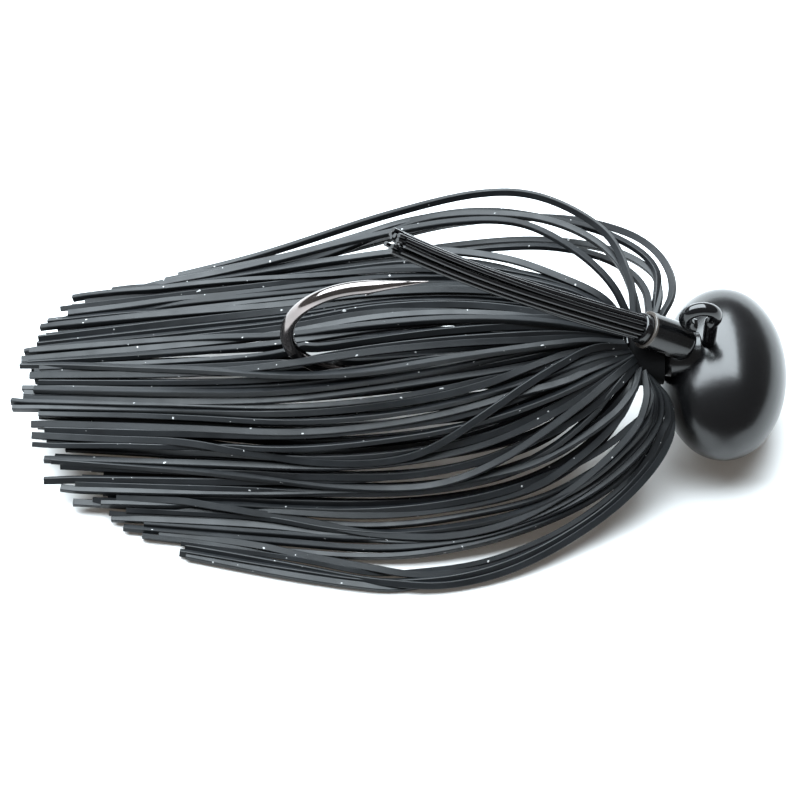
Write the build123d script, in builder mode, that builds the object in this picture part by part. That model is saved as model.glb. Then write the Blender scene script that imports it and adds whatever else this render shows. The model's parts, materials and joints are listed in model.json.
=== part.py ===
from build123d import *

import math
import os

# A football jig: a cast weight on a hook, a fibre weed guard and a bound rubber skirt.
# Millimetres. +X is the weight's end, +Z is up, and the part lies on its weight and skirt at Z = 0.
# "u" and "w" below are distances behind and above the weight's centre, in the plane of the hook.

# weight
HEAD_X = 31.05
HEAD_Z = 6.05
HEAD_RADIUS = 6.05
HEAD_HALF_LENGTH = 8.95
HEAD_TURN = -5.0
NECK_RADIUS = 2.1
COLLAR_RADIUS = 1.5
COLLAR_END_X = 16.8
RIDGE_RADIUS = 1.75

# hook
WIRE_RADIUS = 0.65
SHANK_Z = HEAD_Z + 3.85
BEND_RADIUS = 7.2
BEND_X = -3.05
POINT_RISE = 4.0
POINT_STRAIGHT = 0.9
POINT_LENGTH = 6.4
ELBOW_RADIUS = 1.2
STEM_X = HEAD_X - 1.7
EYE_RADIUS = 1.4
EYE_X = HEAD_X - 2.75
EYE_Z = HEAD_Z + 10.15
EYE_TURN = 295.0
EYE_HOLE_RADIUS = 0.8

# weed guard and its socket
GUARD_ANGLE = 36.0
SOCKET_BASE = (HEAD_X - 3.7, HEAD_Z + 5.6)
SOCKET_LENGTH = 5.15
SOCKET_RADIUS = 1.8
BORE_RADIUS = 1.45
BORE_DEPTH = 3.2
PLUG_PROUD = 0.8
FIBRE_GAP = 0.6
FIBRE_DIAMETER = 0.46
FIBRE_PITCH = 0.48
# one fibre in the middle, then these circles of six: the radius in pitches, and the first fibre's angle
FIBRE_CIRCLES = [(1, 0), (math.sqrt(3), 30), (2, 0)]
FIBRE_ROOT_ANGLE = 30.5
FIBRE_BOW_RADIUS = 150.0
FIBRE_LENGTH = 27.8

# skirt
STRAND_WIDTH = 0.56
STRAND_PITCH = 0.62
ROOT_RADIUS = 2.7
WAIST_RADIUS = 2.25
BINDING_START_X = 19.4
BINDING_WIRE = 0.36
BINDING_PITCH = 0.38
BINDING_TURNS = 6
LOCK_START_RADIUS = ROOT_RADIUS + 0.06

# The skirt's locks leave the binding in three rings, from the innermost at the back to the outermost at
# the front. Half widths and heights are those of each ring's oval around the shank, at three stations.
SHOULDER_X = 13.0
MIDDLE_X = -1.0
TAIL_X = -36.85
TAIL_Z = 6.1
TAIL_DRIFT = 3.5
RINGS = [
    {"locks": 8, "first": 22.5, "start": 18.4, "knee": 4.8, "flare": 0.0, "shorter": 0.5,
     "shoulder": (4.8, 3.6, 3.6), "middle": (7.0, 3.0, 3.4), "tail": (5.0, 1.9, 1.7)},
    {"locks": 10, "first": 40.0, "start": 22.5, "knee": 6.4, "flare": 0.0, "shorter": 2.5,
     "shoulder": (9.4, 5.4, 5.8), "middle": (12.8, 5.6, 5.8), "tail": (8.8, 3.9, 3.4)},
    {"locks": 10, "first": 58.0, "start": 24.0, "knee": 8.0, "flare": 1.4, "shorter": 10.5,
     "shoulder": (16.2, 7.6, 8.0), "middle": (20.7, 7.8, 8.3), "tail": (13.0, 5.8, 5.0)},
]


def save(name, part):
    part.label = name
    export_step(part, f"parts/{name}.step")


def direction(degrees):
    """The unit vector in the plane of the hook, at this angle above straight forward."""
    return Vector(math.cos(math.radians(degrees)), 0, math.sin(math.radians(degrees)))


def oval(x, angle, size, centre_z=SHANK_Z, drift=0.0):
    """The point of an oval around the shank, at this angle from the top."""
    half_width, above, below = size
    up = math.cos(math.radians(angle))
    height = above if up > 0 else below
    return Vector(x, half_width * math.sin(math.radians(angle)) + drift, centre_z + height * up)


def fillet_radii(points):
    """For each inner corner, the largest arc that fits its shorter run with a little to spare."""
    radii = []
    for before, corner, after in zip(points, points[1:], points[2:]):
        turn = math.radians((corner - before).get_angle(after - corner))
        shorter_run = min((corner - before).length, (after - corner).length)
        radii.append(0.45 * shorter_run / math.tan(turn / 2))
    return radii


def lock_route(ring, angle):
    """From the binding out to the knee, over the shoulder and back to the tail."""
    side = abs(math.sin(math.radians(angle)))
    start_x = ring["start"]
    knee = ring["knee"]
    return [
        oval(start_x, angle, (LOCK_START_RADIUS,) * 3),
        oval(start_x + ring["flare"] * side, angle, (knee, knee, knee)),
        oval(SHOULDER_X, angle, ring["shoulder"]),
        oval(MIDDLE_X, angle, ring["middle"]),
        oval(TAIL_X + ring["shorter"] * side ** 2, angle, ring["tail"], TAIL_Z, TAIL_DRIFT),
    ]


os.makedirs("parts", exist_ok=True)

# ---- hook: point, bend, shank, elbow and line eye ----
bend_centre = Vector(BEND_X, 0, SHANK_Z + BEND_RADIUS)
point_root = bend_centre + direction(90 + POINT_RISE) * BEND_RADIUS
elbow_centre = Vector(STEM_X - ELBOW_RADIUS, 0, SHANK_Z + ELBOW_RADIUS)
eye_centre = Vector(EYE_X, 0, EYE_Z)
eye_start = -math.degrees(math.acos((STEM_X - EYE_X) / EYE_RADIUS))
stem_top = eye_centre + direction(eye_start) * EYE_RADIUS

# the eye turns forward off the top of the stem, and its end closes against the stem's other side
with BuildPart() as eye_ring:
    with BuildLine(Plane.XZ) as eye_line:
        CenterArc((eye_centre.X, eye_centre.Z), EYE_RADIUS, eye_start, EYE_TURN)
    with BuildSketch(Plane(origin=eye_line.line @ 0, z_dir=eye_line.line % 0)):
        Circle(WIRE_RADIUS)
    sweep()
    with Locations(stem_top):
        Sphere(WIRE_RADIUS)

with BuildPart() as hook:
    with BuildLine() as wire_line:
        ThreePointArc(point_root, bend_centre + direction(182) * BEND_RADIUS,
                      bend_centre + direction(270) * BEND_RADIUS)
        Line(bend_centre + direction(270) * BEND_RADIUS, elbow_centre + direction(270) * ELBOW_RADIUS)
        ThreePointArc(elbow_centre + direction(270) * ELBOW_RADIUS,
                      elbow_centre + direction(315) * ELBOW_RADIUS, elbow_centre + direction(0) * ELBOW_RADIUS)
        Line(elbow_centre + direction(0) * ELBOW_RADIUS, stem_top)
    with BuildSketch(Plane(origin=wire_line.line @ 0, z_dir=wire_line.line % 0)):
        Circle(WIRE_RADIUS)
    sweep()
    add(eye_ring.part)
    # the land that a line or a snap bears on
    with Locations(Plane(origin=eye_centre, z_dir=(0, 1, 0))):
        Cylinder(EYE_HOLE_RADIUS, 3 * WIRE_RADIUS, mode=Mode.SUBTRACT)
    # the point is ground to a slightly hollow taper
    point_plane = Plane(origin=point_root, x_dir=direction(POINT_RISE), z_dir=(0, -1, 0))
    with BuildSketch(point_plane):
        with BuildLine():
            Polyline((POINT_LENGTH, 0), (0, 0), (0, WIRE_RADIUS), (POINT_STRAIGHT, WIRE_RADIUS))
            ThreePointArc((POINT_STRAIGHT, WIRE_RADIUS), (3.7, 0.33), (POINT_LENGTH, 0.04))
            Line((POINT_LENGTH, 0.04), (POINT_LENGTH, 0))
        make_face()
    revolve(axis=Axis(point_root, direction(POINT_RISE)))
    with BuildSketch(point_plane):
        with BuildLine():
            Polyline((2.5, -0.25), (0.55, -1.08), (1.0, -0.25), close=True)
        make_face()
    extrude(amount=0.24, both=True)
save("hook", hook.part)

# ---- weed guard's socket: a tube with one closed, rounded end ----
guard_out = direction(180 - GUARD_ANGLE)
socket_base = Vector(SOCKET_BASE[0], 0, SOCKET_BASE[1])
socket_plane = Plane(origin=socket_base, z_dir=guard_out)
bore_plane = socket_plane.offset(SOCKET_LENGTH - BORE_DEPTH)
with BuildPart() as socket_body:
    with BuildSketch(socket_plane):
        Circle(SOCKET_RADIUS)
    extrude(amount=SOCKET_LENGTH)
    fillet(socket_body.edges().sort_by(Axis(socket_base, guard_out))[0], 0.75)

with BuildPart() as guard_socket:
    add(socket_body.part)
    with BuildSketch(bore_plane):
        Circle(BORE_RADIUS)
    extrude(amount=BORE_DEPTH, mode=Mode.SUBTRACT)
    fillet(guard_socket.edges().sort_by(Axis(socket_base, guard_out))[-2:], 0.1)
save("guard_socket", guard_socket.part)

# ---- the guard's root, fused into a plug ----
with BuildPart() as guard_plug:
    with BuildSketch(bore_plane):
        Circle(BORE_RADIUS)
    extrude(amount=BORE_DEPTH + PLUG_PROUD)
    fillet(guard_plug.edges().sort_by(Axis(socket_base, guard_out))[-1], 0.2)
save("guard_plug", guard_plug.part)

# ---- weight: an egg lying across the hook, cast on the wire, with a neck and a skirt collar ----
egg_outline = [(HEAD_X + HEAD_RADIUS * math.cos(math.radians(angle)),
                HEAD_HALF_LENGTH * math.sin(math.radians(angle))) for angle in range(0, 91, 15)]
with BuildPart() as egg_half:
    with BuildSketch(Plane.XY.offset(HEAD_Z)):
        with BuildLine():
            egg_curve = Spline(*egg_outline, tangents=[(0, 1), (-1, 0)])
            Polyline(egg_curve @ 1, (HEAD_X, 0), egg_curve @ 0)
        make_face()
    revolve(axis=Axis((HEAD_X, 0, HEAD_Z), (0, 1, 0)))

with BuildPart() as neck:
    with BuildSketch(Plane.XZ):
        with BuildLine():
            Polyline((HEAD_X - 2.5, SHANK_Z), (HEAD_X - 2.5, SHANK_Z + NECK_RADIUS),
                     (HEAD_X - 5.35, SHANK_Z + NECK_RADIUS), (HEAD_X - 6.75, SHANK_Z + COLLAR_RADIUS),
                     (COLLAR_END_X + 1.4, SHANK_Z + COLLAR_RADIUS), (COLLAR_END_X + 0.9, SHANK_Z + RIDGE_RADIUS),
                     (COLLAR_END_X, SHANK_Z + COLLAR_RADIUS - 0.3), (COLLAR_END_X, SHANK_Z), close=True)
        make_face()
    revolve(axis=Axis((0, 0, SHANK_Z), (1, 0, 0)))

# The two halves meet at the mould's parting line, which stays as an edge. The egg sits a few degrees off
# square to the hook.
with BuildPart() as egg:
    add(egg_half.part)
    add(egg_half.part.mirror(Plane.XZ), clean=False)

with BuildPart() as head_weight:
    add(egg.part.rotate(Axis((HEAD_X, 0, HEAD_Z), (0, 0, 1)), HEAD_TURN))
    add(neck.part, clean=False)
    add(hook.part, mode=Mode.SUBTRACT, clean=False)
    add(socket_body.part, mode=Mode.SUBTRACT, clean=False)
save("head_weight", head_weight.part)

# ---- weed guard: nineteen nylon fibres on one gentle arc ----
fibre_root = socket_base + guard_out * (SOCKET_LENGTH + PLUG_PROUD + FIBRE_GAP)
fibre_out = direction(180 - FIBRE_ROOT_ANGLE)
bow_centre = fibre_root + direction(90 - FIBRE_ROOT_ANGLE) * FIBRE_BOW_RADIUS
with BuildPart() as guard_fibres:
    with BuildSketch(Plane(origin=fibre_root, x_dir=(0, 1, 0), z_dir=fibre_out)):
        Circle(FIBRE_DIAMETER / 2)
        for circle_radius, first_angle in FIBRE_CIRCLES:
            with PolarLocations(circle_radius * FIBRE_PITCH, 6, start_angle=first_angle):
                Circle(FIBRE_DIAMETER / 2)
    revolve(axis=Axis(bow_centre, (0, 1, 0)), revolution_arc=math.degrees(FIBRE_LENGTH / FIBRE_BOW_RADIUS))
save("guard_fibres", guard_fibres.part)

# ---- skirt: the strands' bound middles, the wire that binds them, and their free ends in locks ----
with BuildPart() as skirt_roots:
    root_end_x = RINGS[0]["start"] - 1.1
    root_front_x = RINGS[-1]["start"] + 1.0
    binding_end_x = BINDING_START_X + BINDING_PITCH * BINDING_TURNS
    with BuildSketch(Plane.XZ):
        with BuildLine():
            Polyline((root_end_x, SHANK_Z + RIDGE_RADIUS), (root_end_x, SHANK_Z + ROOT_RADIUS),
                     (BINDING_START_X - 0.5, SHANK_Z + ROOT_RADIUS),
                     (BINDING_START_X - 0.2, SHANK_Z + WAIST_RADIUS),
                     (binding_end_x + 0.2, SHANK_Z + WAIST_RADIUS),
                     (binding_end_x + 0.5, SHANK_Z + ROOT_RADIUS),
                     (root_front_x, SHANK_Z + ROOT_RADIUS), (root_front_x, SHANK_Z + RIDGE_RADIUS), close=True)
        make_face()
    revolve(axis=Axis((0, 0, SHANK_Z), (1, 0, 0)))
    add(head_weight.part, mode=Mode.SUBTRACT)
    add(socket_body.part, mode=Mode.SUBTRACT)
save("skirt_roots", skirt_roots.part)

with BuildPart() as binding_wire:
    with BuildLine() as binding_line:
        Helix(BINDING_PITCH, BINDING_PITCH * BINDING_TURNS, WAIST_RADIUS + BINDING_WIRE / 2 + 0.01,
              center=(BINDING_START_X, 0, SHANK_Z), direction=(1, 0, 0))
    with BuildSketch(Plane(origin=binding_line.line @ 0, z_dir=binding_line.line % 0)):
        Circle(BINDING_WIRE / 2)
    sweep(is_frenet=True)
save("binding_wire", binding_wire.part)

lock_number = 0
for ring in RINGS:
    spacing = (360 - 2 * ring["first"]) / (ring["locks"] - 1)
    for place in range(ring["locks"]):
        angle = ring["first"] + spacing * place
        route = lock_route(ring, angle)
        lock_number += 1
        with BuildPart() as skirt_lock:
            with BuildLine() as lock_line:
                FilletPolyline(*route, radius=fillet_radii(route))
            with BuildSketch(Plane(origin=lock_line.line @ 0, x_dir=(1, 0, 0), z_dir=lock_line.line % 0)):
                with GridLocations(STRAND_PITCH, STRAND_PITCH, 2, 2):
                    Rectangle(STRAND_WIDTH, STRAND_WIDTH)
            sweep()
        save(f"skirt_lock_{lock_number:02d}", skirt_lock.part)
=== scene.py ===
import json
import math

import bpy
import numpy as np
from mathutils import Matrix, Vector


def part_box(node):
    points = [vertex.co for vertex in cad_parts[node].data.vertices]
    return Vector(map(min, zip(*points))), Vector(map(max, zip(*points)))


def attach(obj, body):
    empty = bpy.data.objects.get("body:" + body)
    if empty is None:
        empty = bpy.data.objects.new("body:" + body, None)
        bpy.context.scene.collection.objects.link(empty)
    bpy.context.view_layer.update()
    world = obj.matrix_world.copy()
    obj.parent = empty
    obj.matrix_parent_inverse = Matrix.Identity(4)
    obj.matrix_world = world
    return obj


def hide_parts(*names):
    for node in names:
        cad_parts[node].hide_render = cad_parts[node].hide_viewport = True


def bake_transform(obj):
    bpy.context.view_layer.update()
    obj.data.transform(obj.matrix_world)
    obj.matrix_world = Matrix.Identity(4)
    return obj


# A football jig lying on a white table, seen from above with its skirt's tips to the left. Lengths are
# metres, except those of the strands' guides.
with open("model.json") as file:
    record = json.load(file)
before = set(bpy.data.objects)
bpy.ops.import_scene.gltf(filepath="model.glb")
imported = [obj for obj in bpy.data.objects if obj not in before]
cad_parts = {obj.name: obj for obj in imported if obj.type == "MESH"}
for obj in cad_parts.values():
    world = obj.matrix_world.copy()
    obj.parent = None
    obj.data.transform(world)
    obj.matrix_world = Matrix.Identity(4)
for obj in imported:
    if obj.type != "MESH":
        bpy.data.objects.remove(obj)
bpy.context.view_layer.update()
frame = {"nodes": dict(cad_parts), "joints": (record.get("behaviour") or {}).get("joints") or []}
MM = 0.001

# ---------------------------------------------------------------- places, from the frame
# The weight is taken as a capsule: a core that lies across the hook, with the head's radius round it.
WEIGHT_LOW, WEIGHT_HIGH = (np.array(corner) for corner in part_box("head_weight"))
HEAD_RADIUS = 6.05 * MM
HEAD_CORE_HALF = 4.3 * MM
HEAD_TURN = math.radians(-5)
HEAD_CENTRE = np.array([WEIGHT_HIGH[0] - HEAD_RADIUS, 0.0, WEIGHT_LOW[2] + HEAD_RADIUS])
GATE_MARK = tuple(HEAD_CENTRE + np.array([-1.0, -6.9, -3.2]) * MM)
HOOK_LOW, HOOK_HIGH = (np.array(corner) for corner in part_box("hook"))
WIRE_RADIUS = HOOK_HIGH[1]
SHANK_Z = HOOK_LOW[2] + WIRE_RADIUS
BEND_RADIUS = 7.2 * MM
BEND_CENTRE = np.array([HOOK_LOW[0] + WIRE_RADIUS + BEND_RADIUS, 0.0, SHANK_Z + BEND_RADIUS])
SOCKET_LOW, SOCKET_HIGH = (np.array(corner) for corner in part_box("guard_socket"))
SOCKET_RADIUS = SOCKET_HIGH[1]
GUARD_ANGLE = math.radians(36)
GUARD_OUT = np.array([-math.cos(GUARD_ANGLE), 0.0, math.sin(GUARD_ANGLE)])
GUARD_DOWN = np.array([math.sin(GUARD_ANGLE), 0.0, -math.cos(GUARD_ANGLE)])
SOCKET_MOUTH = np.array([SOCKET_LOW[0], 0.0, SOCKET_HIGH[2]]) + SOCKET_RADIUS * GUARD_DOWN
PIVOT = np.array(frame["joints"][0]["pos_m"])
FIBRES_LOW, FIBRES_HIGH = (np.array(corner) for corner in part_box("guard_fibres"))
GUARD_TIP = np.array([FIBRES_LOW[0] + 0.75 * MM, 0.0, FIBRES_HIGH[2] - 0.85 * MM])


# ---------------------------------------------------------------- materials
PAINT_BLACK = (0.0022, 0.0022, 0.0025)
GATE_GREY = (0.030, 0.028, 0.026)
GLOSS_BLACK = (0.0025, 0.0025, 0.0028)
# The socket rim's lighter colour is a painted highlight.
RIM_PAINTED_HIGHLIGHT = (0.05, 0.043, 0.038)
NICKEL_DARK = (0.16, 0.145, 0.14)
NICKEL_LIGHT = (0.30, 0.26, 0.25)
HOOK_PAINT = (0.003, 0.003, 0.0035)
HOOK_PAINT_EDGE = (18 * MM, 22 * MM)
RUBBER_DARK = (0.0042, 0.0048, 0.0056)
RUBBER_LIGHT = (0.0092, 0.0104, 0.0120)
# RUBBER_SHADED is painted shade, for the skirt's roots.
RUBBER_SHADED = (0.003, 0.003, 0.0033)
DUST = (0.35, 0.35, 0.35)
NONE = (0.0, 0.0, 0.0)
FULL = (1.0, 1.0, 1.0)


class Shader:
    """A node tree being built, with short calls for the nodes that the materials share."""

    def __init__(self, name):
        self.material = bpy.data.materials.new(name)
        self.material.use_nodes = True
        self.nodes = self.material.node_tree.nodes
        self.links = self.material.node_tree.links
        self.surface = self.nodes["Principled BSDF"]
        self.coordinates = self.nodes.new("ShaderNodeTexCoord")

    def set(self, **values):
        for name, value in values.items():
            self.surface.inputs[name.replace("_", " ")].default_value = value

    def link(self, output, socket):
        self.links.new(output, self.surface.inputs[socket])

    def noise(self, scale, detail):
        node = self.nodes.new("ShaderNodeTexNoise")
        node.inputs["Scale"].default_value = scale
        node.inputs["Detail"].default_value = detail
        self.links.new(self.coordinates.outputs["Object"], node.inputs["Vector"])
        return node.outputs["Fac"]

    def ramp(self, value, *stops):
        """The value through a colour ramp. Each stop is a position and a grey or a colour."""
        node = self.nodes.new("ShaderNodeValToRGB")
        while len(node.color_ramp.elements) < len(stops):
            node.color_ramp.elements.new(0.5)
        for element, (position, colour) in zip(node.color_ramp.elements, stops):
            element.position = position
            shade = (colour,) * 3 if isinstance(colour, float) else colour
            element.color = (*shade, 1.0)
        self.links.new(value, node.inputs["Fac"])
        return node.outputs["Color"]

    def mix(self, factor, first, second):
        node = self.nodes.new("ShaderNodeMix")
        node.data_type = "RGBA"
        for value, socket in ((factor, node.inputs[0]), (first, node.inputs[6]), (second, node.inputs[7])):
            if isinstance(value, bpy.types.NodeSocket):
                self.links.new(value, socket)
            else:
                socket.default_value = (*value, 1.0) if isinstance(value, tuple) else value
        return node.outputs[2]

    def along(self, axis, start, end):
        """From 0 at start to 1 at end, along the axis, in the piece's own coordinates."""
        node = self.nodes.new("ShaderNodeVectorMath")
        node.operation = "DOT_PRODUCT"
        node.inputs[1].default_value = axis
        self.links.new(self.coordinates.outputs["Object"], node.inputs[0])
        return self.remap(node.outputs["Value"], start, end)

    def near(self, place, inner, outer):
        """1 within the inner distance of the place, and 0 beyond the outer one."""
        node = self.nodes.new("ShaderNodeVectorMath")
        node.operation = "DISTANCE"
        node.inputs[1].default_value = place
        self.links.new(self.coordinates.outputs["Object"], node.inputs[0])
        return self.remap(node.outputs["Value"], outer, inner)

    def remap(self, value, start, end):
        node = self.nodes.new("ShaderNodeMapRange")
        node.inputs["From Min"].default_value = start
        node.inputs["From Max"].default_value = end
        self.links.new(value, node.inputs["Value"])
        return node.outputs["Result"]

    def bump(self, height, strength, distance):
        node = self.nodes.new("ShaderNodeBump")
        node.inputs["Strength"].default_value = strength
        node.inputs["Distance"].default_value = distance
        self.links.new(height, node.inputs["Height"])
        self.links.new(node.outputs["Normal"], self.surface.inputs["Normal"])


def satin_paint():
    """The weight's paint, with a faint grey mark where the mould's gate was."""
    paint = Shader("satin_black_paint")
    paint.set(Specular_IOR_Level=0.5)
    paint.link(paint.ramp(paint.noise(170, 3.0), (0.3, 0.20), (0.7, 0.26)), "Roughness")
    gate = paint.near(GATE_MARK, 0.7 * MM, 1.0 * MM)
    paint.link(paint.mix(gate, PAINT_BLACK, GATE_GREY), "Base Color")
    paint.bump(paint.noise(900, 2.0), 0.07, 0.08 * MM)
    return paint.material


def hook_finish():
    """Black nickel, with the head's paint run over the eye and its stem."""
    metal = Shader("black_nickel_and_paint")
    painted = metal.ramp(metal.along((1, 0, 0), *HOOK_PAINT_EDGE), (0.45, 0.0), (0.55, 1.0))
    wear = metal.noise(600, 3.0)
    nickel = metal.ramp(metal.noise(160, 2.0), (0.35, NICKEL_DARK), (0.7, NICKEL_LIGHT))
    nickel_roughness = metal.ramp(wear, (0.35, 0.09), (0.75, 0.20))
    paint_roughness = (0.12, 0.12, 0.12)
    metal.link(metal.mix(painted, nickel, HOOK_PAINT), "Base Color")
    metal.link(metal.mix(painted, FULL, NONE), "Metallic")
    metal.link(metal.mix(painted, nickel_roughness, paint_roughness), "Roughness")
    metal.bump(wear, 0.10, 0.04 * MM)
    return metal.material


def gloss_black(name, roughness, bump):
    gloss = Shader(name)
    gloss.set(Base_Color=(*GLOSS_BLACK, 1), Specular_IOR_Level=0.5)
    gloss.link(gloss.ramp(gloss.noise(420, 3.0), (0.3, roughness), (0.75, roughness + 0.10)), "Roughness")
    gloss.bump(gloss.noise(1100, 2.0), bump, 0.06 * MM)
    return gloss


def socket_finish():
    """Gloss black, with a painted highlight, a lighter brownish band, round the mouth's rim."""
    gloss = gloss_black("gloss_black_socket", 0.10, 0.06)
    rim = float(SOCKET_MOUTH @ GUARD_OUT)
    # A lighter band round the mouth's rim: a painted highlight.
    rim_highlight = gloss.ramp(gloss.along(tuple(GUARD_OUT), rim - 0.45 * MM, rim), (0.5, 0.0), (0.75, 1.0))
    gloss.link(gloss.mix(rim_highlight, GLOSS_BLACK, RIM_PAINTED_HIGHLIGHT), "Base Color")
    return gloss.material


def skirt_rubber():
    """Matt charcoal rubber with a little pale dust on it."""
    rubber = Shader("matt_charcoal_rubber")
    rubber.set(Specular_IOR_Level=0.30)
    shade = rubber.ramp(rubber.noise(230, 3.0), (0.3, RUBBER_DARK), (0.75, RUBBER_LIGHT))
    dust = rubber.ramp(rubber.noise(2600, 0.0), (0.842, 0.0), (0.852, 1.0))
    rubber.link(rubber.mix(dust, shade, DUST), "Base Color")
    rubber.link(rubber.ramp(rubber.noise(500, 2.0), (0.3, 0.40), (0.75, 0.54)), "Roughness")
    rubber.bump(rubber.noise(2200, 2.0), 0.14, 0.06 * MM)
    return rubber.material


# Near-black rubber for the skirt's roots: painted shade, for the shadow of the socket and the collar over
# them.
def shaded_rubber():
    rubber = Shader("rubber_painted_shade")
    rubber.set(Base_Color=(*RUBBER_SHADED, 1), Specular_IOR_Level=0.12, Roughness=0.75)
    return rubber.material


def paint_node(name, material):
    node = frame["nodes"][name]
    if not node.material_slots:
        node.data.materials.append(material)
    for slot in node.material_slots:
        slot.material = material


RUBBER = skirt_rubber()
NYLON = gloss_black("gloss_black_nylon", 0.14, 0.04).material
paint_node("head_weight", satin_paint())
paint_node("hook", hook_finish())
paint_node("guard_socket", socket_finish())
paint_node("guard_plug", NYLON)
paint_node("skirt_roots", shaded_rubber())
paint_node("binding_wire", gloss_black("gloss_black_wire", 0.12, 0.04).material)

# ---------------------------------------------------------------- skirt strands
STRAND_WIDTH = 0.56 * MM
STRAND_GAP = 0.59 * MM
STRAND_CLEARANCE = STRAND_WIDTH * 0.6
STRAND_LENGTH_MM = 59.0
LOCK_NAMES = sorted(name for name in frame["nodes"] if name.startswith("skirt_lock_"))
STRANDS_PER_LOCK = 4
STRAND_TURN = 0.8
STRAND_TWIST = 1.6
POINTS = 46
CURVE_STEPS = 24
MESH_RINGS = 90
chance = np.random.default_rng(5)

# Guide strands over the top of the skirt, each by its place in the fan, from -1 at the near edge to 0.85 at
# the far one. Millimetres, from the binding, over the shoulder and back to the tips.
GUIDES = {
    -1.00: [(23.0, -2.5, 10.8), (25.5, -5.0, 8.4), (24.5, -8.5, 5.8), (18.5, -13.0, 2.4), (8.5, -17.5, 0.8),
            (-1.0, -18.5, 0.6), (-10.0, -16.5, 0.5), (-20.5, -13.5, 0.5)],
    -0.85: [(23.0, -2.0, 10.8), (25.0, -5.0, 9.0), (23.5, -8.0, 6.6), (17.5, -12.0, 3.4), (8.5, -15.0, 1.6),
            (-1.0, -15.5, 0.9), (-11.0, -13.5, 0.6), (-25.0, -10.5, 0.5)],
    -0.70: [(23.0, -2.0, 11.0), (23.5, -5.0, 10.0), (21.5, -8.0, 8.0), (14.5, -11.5, 5.0), (6.0, -12.5, 3.0),
            (-2.5, -12.5, 2.0), (-13.0, -10.5, 1.2), (-29.0, -8.5, 0.8)],
    -0.50: [(22.5, -1.5, 11.6), (20.5, -4.5, 12.0), (16.5, -7.5, 10.6), (10.0, -9.5, 8.0), (2.5, -10.0, 6.2),
            (-6.0, -9.0, 4.6), (-16.5, -7.5, 3.2), (-32.5, -5.5, 2.2)],
    -0.33: [(22.0, -1.0, 12.0), (19.0, -3.0, 13.0), (14.0, -5.5, 12.8), (6.5, -7.5, 11.4), (-1.0, -7.5, 9.4),
            (-9.5, -6.5, 7.4), (-19.0, -4.0, 5.4), (-34.5, -1.0, 3.4)],
    -0.15: [(21.5, -0.5, 12.3), (18.0, -1.5, 13.8), (12.0, -3.5, 14.4), (4.5, -5.0, 14.0), (-3.0, -5.0, 12.4),
            (-11.0, -3.5, 9.6), (-20.5, -1.0, 6.8), (-36.5, 2.0, 4.2)],
    0.13: [(21.0, 0.5, 12.4), (17.0, 0.0, 14.2), (11.5, -0.5, 15.4), (4.0, -1.0, 16.0), (-3.5, -1.5, 15.8),
           (-11.0, -1.0, 13.6), (-19.5, 1.5, 9.2), (-34.5, 5.0, 4.8)],
    0.38: [(21.5, 1.5, 12.4), (17.5, 2.0, 14.4), (12.5, 3.0, 15.6), (5.0, 4.0, 15.4), (-2.5, 5.0, 13.8),
           (-10.0, 5.5, 11.2), (-18.5, 7.0, 8.0), (-34.0, 8.0, 4.6)],
    0.60: [(21.5, 1.5, 12.4), (18.5, 3.0, 14.4), (14.0, 4.5, 15.2), (7.5, 6.5, 14.6), (0.0, 8.0, 13.0),
           (-8.5, 9.0, 10.6), (-18.5, 10.0, 7.8), (-33.0, 11.0, 4.6)],
    0.85: [(22.0, 2.5, 12.2), (19.5, 4.0, 14.0), (15.5, 6.0, 14.4), (10.5, 8.5, 14.0), (3.0, 11.0, 12.4),
           (-5.5, 12.0, 10.0), (-15.5, 13.0, 7.4), (-30.5, 13.5, 4.6)],
}
GUIDE_PLACES = np.array(sorted(GUIDES))
GUIDE_STATIONS = np.array([GUIDES[place] for place in GUIDE_PLACES])

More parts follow.
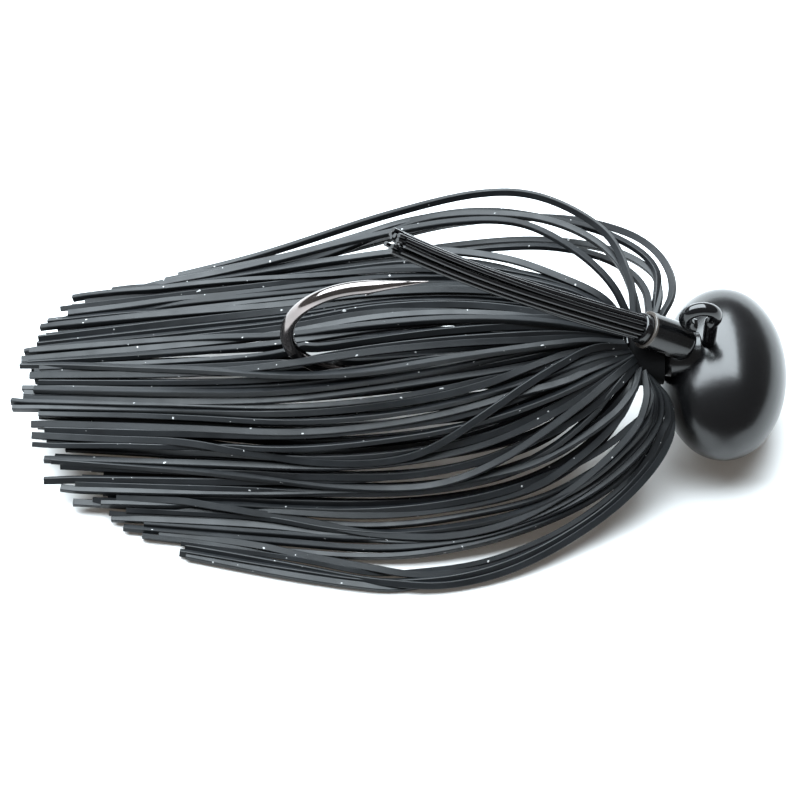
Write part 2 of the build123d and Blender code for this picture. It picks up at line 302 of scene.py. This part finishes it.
# The strands that loop out on the far side, each on its own with nothing under it. Millimetres.
FAR_LOOPS = [
    [(22.5, 2.0, 12.4), (22.3, 6.0, 14.2), (20.4, 11.0, 15.0), (15.0, 15.4, 14.8), (9.0, 17.0, 13.8),
     (0.0, 16.5, 11.7), (-12.5, 15.5, 7.4), (-24.0, 15.0, 4.2)],
    [(25.0, 3.0, 11.6), (26.5, 6.0, 11.6), (26.0, 9.6, 11.8), (22.8, 12.8, 12.0), (16.0, 14.8, 12.2),
     (6.0, 15.7, 10.8), (-5.5, 14.8, 8.2), (-23.0, 14.0, 5.0)],
    [(24.5, 3.0, 11.8), (25.0, 8.5, 12.4), (21.0, 12.0, 13.0), (15.5, 14.0, 13.2), (9.0, 15.5, 13.0),
     (1.5, 15.5, 11.6), (-9.5, 14.5, 8.6), (-26.0, 14.0, 5.0)],
    [(24.0, 3.0, 12.0), (23.8, 6.0, 12.4), (21.6, 8.8, 12.6), (17.6, 10.7, 12.6), (12.5, 11.6, 12.4),
     (4.0, 11.8, 11.4), (-6.5, 12.0, 8.6), (-23.0, 13.0, 4.8)],
    [(23.0, 2.5, 12.4), (22.5, 5.0, 13.6), (21.0, 9.0, 14.0), (17.0, 12.5, 14.0), (11.5, 14.5, 13.6),
     (3.0, 15.5, 12.0), (-8.5, 13.5, 8.6), (-28.0, 13.0, 4.4)],
    [(22.0, 3.0, 12.4), (20.5, 5.5, 14.4), (17.5, 9.0, 15.0), (12.5, 12.5, 15.0), (6.0, 14.0, 13.6),
     (-2.5, 14.0, 11.6), (-13.5, 13.5, 8.6), (-29.0, 13.5, 4.4)],
    [(21.5, 2.5, 12.4), (19.5, 4.2, 14.2), (15.8, 6.4, 14.6), (10.5, 9.2, 14.2), (3.0, 11.6, 12.6),
     (-5.5, 12.6, 10.2), (-16.5, 13.0, 7.6), (-30.0, 14.0, 4.4)],
    [(24.4, 3.0, 12.0), (25.2, 5.5, 12.0), (24.6, 8.4, 12.0), (21.0, 10.8, 12.2), (15.0, 12.4, 12.0),
     (8.0, 13.0, 11.2), (-3.5, 13.4, 8.8), (-24.0, 13.0, 5.0)],
]

LOOP_LENGTH = (0.88, 0.94)
LOOP_FAN = 2.0

# How many of the other strands lie in each part of the skirt, between which places in the fan, and at what
# depth: 1 is on top, 0 on the table, and the few over 1 lie across the rest. Wander is how far a strand may
# drift along the fan, and length is its share of the whole length.
TIERS = [
    {"strands": 39, "fan": (-0.64, 0.85), "depth": (0.95, 1.0), "wander": 0.03, "length": 1.0},
    {"strands": 7, "fan": (-0.60, 0.70), "depth": (1.02, 1.05), "wander": 0.20, "length": 1.0},
    {"strands": 11, "fan": (-1.0, -0.68), "depth": (0.90, 1.0), "wander": 0.07, "length": 1.0},
    {"strands": 26, "fan": (-0.62, 0.72), "depth": (0.70, 0.84), "wander": 0.025, "length": 0.97},
    {"strands": 21, "fan": (-0.52, 0.66), "depth": (0.30, 0.60), "wander": 0.025, "length": 0.945},
]
FAN_JITTER = 0.012
ROOT_CROSS = 0.10
LENGTH_SPREAD = 0.025

# How much a strand drifts at each guide station in its middle, and how much it crosses over at its root.
MIDDLE_DRIFT = np.array([0, 0, 0.3, 0.7, 1, 0.8, 0.3, 0])
ROOT_DRIFT = np.array([1, 0.7, 0.3, 0, 0, 0, 0, 0])

# How much of its length a strand keeps, by its place in the fan: the far ones end short of the middle ones.
TIP_TRIM = {
    -1.00: 0.99,
    -0.85: 0.99,
    -0.55: 1.0,
    -0.30: 1.0,
    -0.10: 1.02,
    0.15: 1.0,
    0.40: 0.985,
    0.60: 0.96,
    0.85: 0.93,
}


def spaced_along(line, count, length=math.inf):
    """Points evenly spaced along the line, up to this length of it."""
    along = np.concatenate([[0], np.cumsum(np.linalg.norm(np.diff(line, axis=0), axis=1))])
    at = np.linspace(0, min(length, along[-1]), count)
    return np.column_stack([np.interp(at, along, line[:, axis]) for axis in range(3)])


def curve_through(stations, count):
    """Points evenly spaced along a Catmull-Rom curve through the stations."""
    stations = np.array(stations, float)
    padded = np.vstack([2 * stations[0] - stations[1], stations, 2 * stations[-1] - stations[-2]])
    fine = []
    for a, b, c, d in zip(padded, padded[1:], padded[2:], padded[3:]):
        t = np.linspace(0, 1, CURVE_STEPS, endpoint=False)[:, None]
        fine.append(0.5 * ((2 * b) + (c - a) * t + (2 * a - 5 * b + 4 * c - d) * t ** 2
                           + (3 * b - a - 3 * c + d) * t ** 3))
    return spaced_along(np.vstack(fine + [stations[-1:]]), count)


def cut_to(stations, length):
    """The curve through the stations, run straight on past the last one and cut off at this length."""
    spare = 14
    fine_points = 600
    ahead = stations[-1] - stations[-2]
    longer = np.vstack([stations, stations[-1] + ahead / np.linalg.norm(ahead) * spare])
    return spaced_along(curve_through(longer, fine_points), POINTS, length)


def free_strand(fan, depth, wander, cross, length):
    """One strand, between its guides, in metres. Its place in the fan drifts along it, and its root may be a
    neighbour's. Its depth says how high it leaves the shank, and how high it then lies over the table."""
    count = GUIDE_STATIONS.shape[1]
    drift = wander[0] * MIDDLE_DRIFT + wander[1] * np.linspace(0, 1, count) ** 2
    places = np.clip(fan + drift + cross * ROOT_DRIFT, GUIDE_PLACES[0], GUIDE_PLACES[-1])
    stations = np.array([[np.interp(places[i], GUIDE_PLACES, GUIDE_STATIONS[:, i, axis]) for axis in range(3)]
                         for i in range(count)])
    table_level = 0.4
    shank_level = SHANK_Z / MM
    stations[:2, 2] = shank_level + (stations[:2, 2] - shank_level) * (2 * depth - 1)
    stations[2:, 2] = table_level + (stations[2:, 2] - table_level) * depth
    trim = np.interp(fan, list(TIP_TRIM), list(TIP_TRIM.values()))
    return cut_to(stations, length * trim * (1 + LENGTH_SPREAD * wander[2])) * MM


def lay_strands():
    """Every strand as it is first laid, and its place in the fan. The far loops come after all the others."""
    strands = []
    fans = []
    for tier in TIERS:
        for fan in np.linspace(*tier["fan"], tier["strands"]):
            fan += chance.uniform(-FAN_JITTER, FAN_JITTER)
            wander = chance.uniform(-1, 1, 3) * [tier["wander"], tier["wander"], 1]
            cross = chance.uniform(-1, 1) * ROOT_CROSS
            depth = chance.uniform(*tier["depth"])
            strands.append(free_strand(fan, depth, wander, cross, STRAND_LENGTH_MM * tier["length"]))
            fans.append(fan)
    for loop in FAR_LOOPS:
        length = STRAND_LENGTH_MM * chance.uniform(*LOOP_LENGTH)
        strands.append(cut_to(np.array(loop), length) * MM)
        fans.append(LOOP_FAN)
    return np.array(strands), np.array(fans)


def keep_out_of_capsule(points, start, end, radius):
    """The points, with those within the radius of the line from start to end moved out to it."""
    axis = end - start
    share = np.clip(((points - start) @ axis) / (axis @ axis), 0, 1)
    nearest = start + share[..., None] * axis
    away = points - nearest
    distance = np.linalg.norm(away, axis=-1, keepdims=True)
    inside = distance < radius
    return np.where(inside, nearest + away / np.maximum(distance, 1e-9) * radius, points)


def hard_parts():
    """The hook's bend and shank, the weight and the guard, each as capsules: start, end and radius."""
    bend_angles = np.radians(np.arange(90, 271, 15))
    bend = [BEND_CENTRE + BEND_RADIUS * np.array([math.cos(a), 0, math.sin(a)]) for a in bend_angles]
    shank = (bend[-1], np.array([HEAD_CENTRE[0], 0, SHANK_Z]))
    wire_reach = WIRE_RADIUS + STRAND_CLEARANCE
    capsules = [(start, end, wire_reach) for start, end in [*zip(bend, bend[1:]), shank]]
    head_core = HEAD_CORE_HALF * np.array([-math.sin(HEAD_TURN), math.cos(HEAD_TURN), 0.0])
    capsules.append((HEAD_CENTRE - head_core, HEAD_CENTRE + head_core, HEAD_RADIUS))
    guard_inner = SOCKET_MOUTH - GUARD_OUT * 5 * MM
    guard_outer = SOCKET_MOUTH + GUARD_OUT * 20 * MM
    capsules.append((guard_inner, guard_outer, SOCKET_RADIUS + STRAND_CLEARANCE))
    return capsules


def settle(strands, hold, rounds):
    """Pushes strands that touch apart and keeps them off the table and the hard parts, at their own length
    and with easy bends. Hold is how strongly each strand keeps to the shape it was laid in."""
    rooted = 5
    push_share = 0.35
    largest_push = 0.3 * MM
    easing = 0.16
    count, points, _ = strands.shape
    step = np.linalg.norm(np.diff(strands, axis=1), axis=2).mean(axis=1)[:, None]
    owner = np.repeat(np.arange(count), points)
    laid = strands.copy()
    held = strands[:, :rooted].copy()
    capsules = hard_parts()
    for _ in range(rounds):
        flat = strands.reshape(-1, 3).astype(np.float32)
        squared = (flat ** 2).sum(1)
        gap = squared[:, None] + squared[None, :] - 2 * flat @ flat.T
        close_a, close_b = np.nonzero(gap < STRAND_GAP ** 2)
        keep = owner[close_a] < owner[close_b]
        close_a, close_b = close_a[keep], close_b[keep]
        away = flat[close_a] - flat[close_b]
        distance = np.maximum(np.linalg.norm(away, axis=1), 1e-7)[:, None]
        push = away / distance * (STRAND_GAP - distance) * push_share
        moved = np.zeros_like(flat)
        np.add.at(moved, close_a, push)
        np.add.at(moved, close_b, -push)
        moved = np.clip(moved, -largest_push, largest_push)
        strands = strands + moved.reshape(strands.shape)
        strands += hold[:, None, None] * (laid - strands)
        strands[:, 1:-1] += easing * ((strands[:, :-2] + strands[:, 2:]) / 2 - strands[:, 1:-1])
        strands[:, :rooted] = held
        for index in range(rooted, points):
            run = strands[:, index] - strands[:, index - 1]
            run_length = np.linalg.norm(run, axis=1, keepdims=True)
            strands[:, index] = strands[:, index - 1] + run / run_length * step
        free = strands[:, rooted:]
        for capsule in capsules:
            free = keep_out_of_capsule(free, *capsule)
        free[..., 2] = np.maximum(free[..., 2], STRAND_CLEARANCE)
        strands[:, rooted:] = free
    return strands


def flat_section():
    """A strand's section, a little wider than it is thick, with its edges taken off. In strand widths."""
    wide = 0.60
    thick = 0.45
    edge = 0.10
    return [(wide, edge - thick), (wide, thick - edge), (wide - edge, thick), (edge - wide, thick),
            (-wide, thick - edge), (-wide, edge - thick), (edge - wide, -thick), (wide - edge, -thick)]


def strand_mesh(lines, section, width, twists):
    """Sweeps the section along each line, carried along without spinning, then given its own slow twist."""
    vertices = []
    faces = []
    sides = len(section)
    section = np.array(section) * width
    for line, (turn, twist) in zip(lines, twists):
        line = curve_through(line, MESH_RINGS)
        tangents = np.gradient(line, axis=0)
        tangents /= np.linalg.norm(tangents, axis=1, keepdims=True)
        side = np.cross(tangents[0], (0, 0, 1.0))
        side /= np.linalg.norm(side)
        base = len(vertices)
        for index, (point, tangent) in enumerate(zip(line, tangents)):
            side = side - tangent * (side @ tangent)
            side /= np.linalg.norm(side)
            up = np.cross(side, tangent)
            angle = turn + twist * index / len(line)
            a = side * math.cos(angle) + up * math.sin(angle)
            b = up * math.cos(angle) - side * math.sin(angle)
            vertices.extend(point + section[:, :1] * a + section[:, 1:] * b)
        for ring in range(len(line) - 1):
            start = base + ring * sides
            for corner in range(sides):
                after = (corner + 1) % sides
                faces.append((start + corner, start + after, start + sides + after, start + sides + corner))
        faces.append(tuple(base + corner for corner in reversed(range(sides))))
        faces.append(tuple(base + (len(line) - 1) * sides + corner for corner in range(sides)))
    return vertices, faces


def add_mesh(name, vertices, faces, material, sharp_angle=30):
    mesh = bpy.data.meshes.new(name)
    mesh.from_pydata([tuple(v) for v in vertices], [], faces)
    mesh.materials.append(material)
    mesh.shade_smooth()
    mesh.set_sharp_from_angle(angle=math.radians(sharp_angle))
    piece = bpy.data.objects.new(name, mesh)
    bpy.context.scene.collection.objects.link(piece)
    return piece


LOOP_HOLD = 0.35
SKIRT_HOLD = 0.06
SETTLING_ROUNDS = 80
strands, fans = lay_strands()
strands = settle(strands, np.where(fans == LOOP_FAN, LOOP_HOLD, SKIRT_HOLD), SETTLING_ROUNDS)
order = np.argsort(fans, kind="stable")
for number, lock in enumerate(LOCK_NAMES):
    members = [strands[i] for i in order[number * STRANDS_PER_LOCK:(number + 1) * STRANDS_PER_LOCK]]
    twists = [(chance.uniform(-STRAND_TURN, STRAND_TURN), chance.uniform(-STRAND_TWIST, STRAND_TWIST))
              for _ in members]
    vertices, faces = strand_mesh(members, flat_section(), STRAND_WIDTH, twists)
    piece = add_mesh(f"strands_{number + 1:02d}", vertices, faces, RUBBER)
    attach(piece, "jig")
    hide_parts(lock)

# ---------------------------------------------------------------- guard fibres
FIBRE_RADIUS = 0.23 * MM
FIBRE_PITCH = 0.485 * MM
FIBRE_CIRCLES = [(0, 1), (1, 6), (2, 12)]
FIBRE_SIDES = 10
FIBRE_IN_PLUG = 0.9 * MM
FIBRE_LEAN = 0.10 * MM
FIBRE_SWAY = 0.05 * MM
GUARD_BOW = 0.7 * MM
GUARD_STATIONS = 8
GUARD_POINTS = 40


def guard_line():
    """The bundle's middle, from inside the plug out to the cut end, bowing a little towards the hook."""
    along = GUARD_TIP - PIVOT
    downward = np.array([-along[2], 0.0, along[0]]) / np.linalg.norm(along)
    shares = np.linspace(0, 1, GUARD_STATIONS)[:, None]
    out = PIVOT + along * shares + downward * GUARD_BOW * 4 * shares * (1 - shares)
    return np.vstack([PIVOT - GUARD_OUT * FIBRE_IN_PLUG, out])


def guard_fibres():
    """One fibre in the middle and two circles round it, each leaning and swaying a little on its own."""
    first_turn = 0.3
    sway_turns = 7
    middle = curve_through(guard_line(), GUARD_POINTS)
    tangents = np.gradient(middle, axis=0)
    tangents /= np.linalg.norm(tangents, axis=1, keepdims=True)
    side = np.array([0.0, 1.0, 0.0])
    upward = np.cross(tangents, side)
    section = [(math.cos(turn) / 2, math.sin(turn) / 2)
               for turn in np.linspace(0, 2 * math.pi, FIBRE_SIDES, endpoint=False)]
    shares = np.linspace(0, 1, len(middle))
    lines = []
    for circle, count in FIBRE_CIRCLES:
        for number in range(count):
            turn = 2 * math.pi * number / count + first_turn
            place = circle * FIBRE_PITCH * np.array([math.cos(turn), math.sin(turn)])
            lean = chance.normal(0, FIBRE_LEAN, 2)
            sway = chance.normal(0, FIBRE_SWAY, 2)
            offset = place + shares[:, None] ** 2 * lean + np.sin(shares * sway_turns)[:, None] * sway
            line = middle + offset[:, :1] * side + offset[:, 1:] * upward
            lines.append(line[:len(line) - chance.integers(0, 2)])
    twists = [(0.0, 0.0)] * len(lines)
    vertices, faces = strand_mesh(lines, section, FIBRE_RADIUS * 2, twists)
    return add_mesh("guard_bristles", vertices, faces, NYLON, sharp_angle=50)


bristles = guard_fibres()
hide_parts("guard_fibres")
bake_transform(bristles)

# ---------------------------------------------------------------- floor, light and camera
TABLE_WHITE = (0.64, 0.64, 0.64)
WARM_BOUNCE = (1.0, 0.84, 0.68)
COOL_WHITE = (0.90, 1.0, 1.06)

table = Shader("white_table")
table.set(Base_Color=(*TABLE_WHITE, 1), Roughness=0.6)
table.set(Emission_Color=(*WARM_BOUNCE, 1), Emission_Strength=0.06)
bpy.ops.mesh.primitive_plane_add(size=4.0, location=(0, 0, -0.01 * MM))
floor = bpy.context.object
floor.name = "white_table"
floor.data.materials.append(table.material)

world = bpy.data.worlds.new("studio")
bpy.context.scene.world = world
world.use_nodes = True
background = world.node_tree.nodes["Background"]
background.inputs["Color"].default_value = (1.0, 1.0, 1.0, 1)
background.inputs["Strength"].default_value = 0.20


def softbox(name, place, aim, size, watts):
    light = bpy.data.lights.new(name, "AREA")
    light.shape = "RECTANGLE"
    light.size, light.size_y = size
    light.energy = watts
    light.color = COOL_WHITE
    lamp = bpy.data.objects.new(name, light)
    lamp.location = place
    lamp.rotation_euler = (Vector(aim) - Vector(place)).to_track_quat("-Z", "Y").to_euler()
    bpy.context.scene.collection.objects.link(lamp)


# One wide soft light over the far side of the table, facing straight down.
softbox("window_softbox", (-0.35, 0.58, 0.62), (-0.35, 0.581, 0), (1.30, 1.22), 64)

CAMERA_AZIMUTH = math.radians(-3.7)
CAMERA_ELEVATION = math.radians(58)
CAMERA_DISTANCE = 0.40
CAMERA_AIM = Vector((0.00025, 0, 0.0046))
TOWARDS_CAMERA = Vector((
    math.sin(CAMERA_AZIMUTH) * math.cos(CAMERA_ELEVATION),
    -math.cos(CAMERA_AZIMUTH) * math.cos(CAMERA_ELEVATION),
    math.sin(CAMERA_ELEVATION)))
camera_data = bpy.data.cameras.new("camera")
camera_data.sensor_width = 36
camera_data.lens = 189
camera_data.clip_start = 0.01
camera = bpy.data.objects.new("camera", camera_data)
camera.location = CAMERA_AIM + CAMERA_DISTANCE * TOWARDS_CAMERA
camera.rotation_euler = (CAMERA_AIM - camera.location).to_track_quat("-Z", "Y").to_euler()
bpy.context.scene.collection.objects.link(camera)
bpy.context.scene.camera = camera
bpy.context.scene.view_settings.view_transform = "Standard"
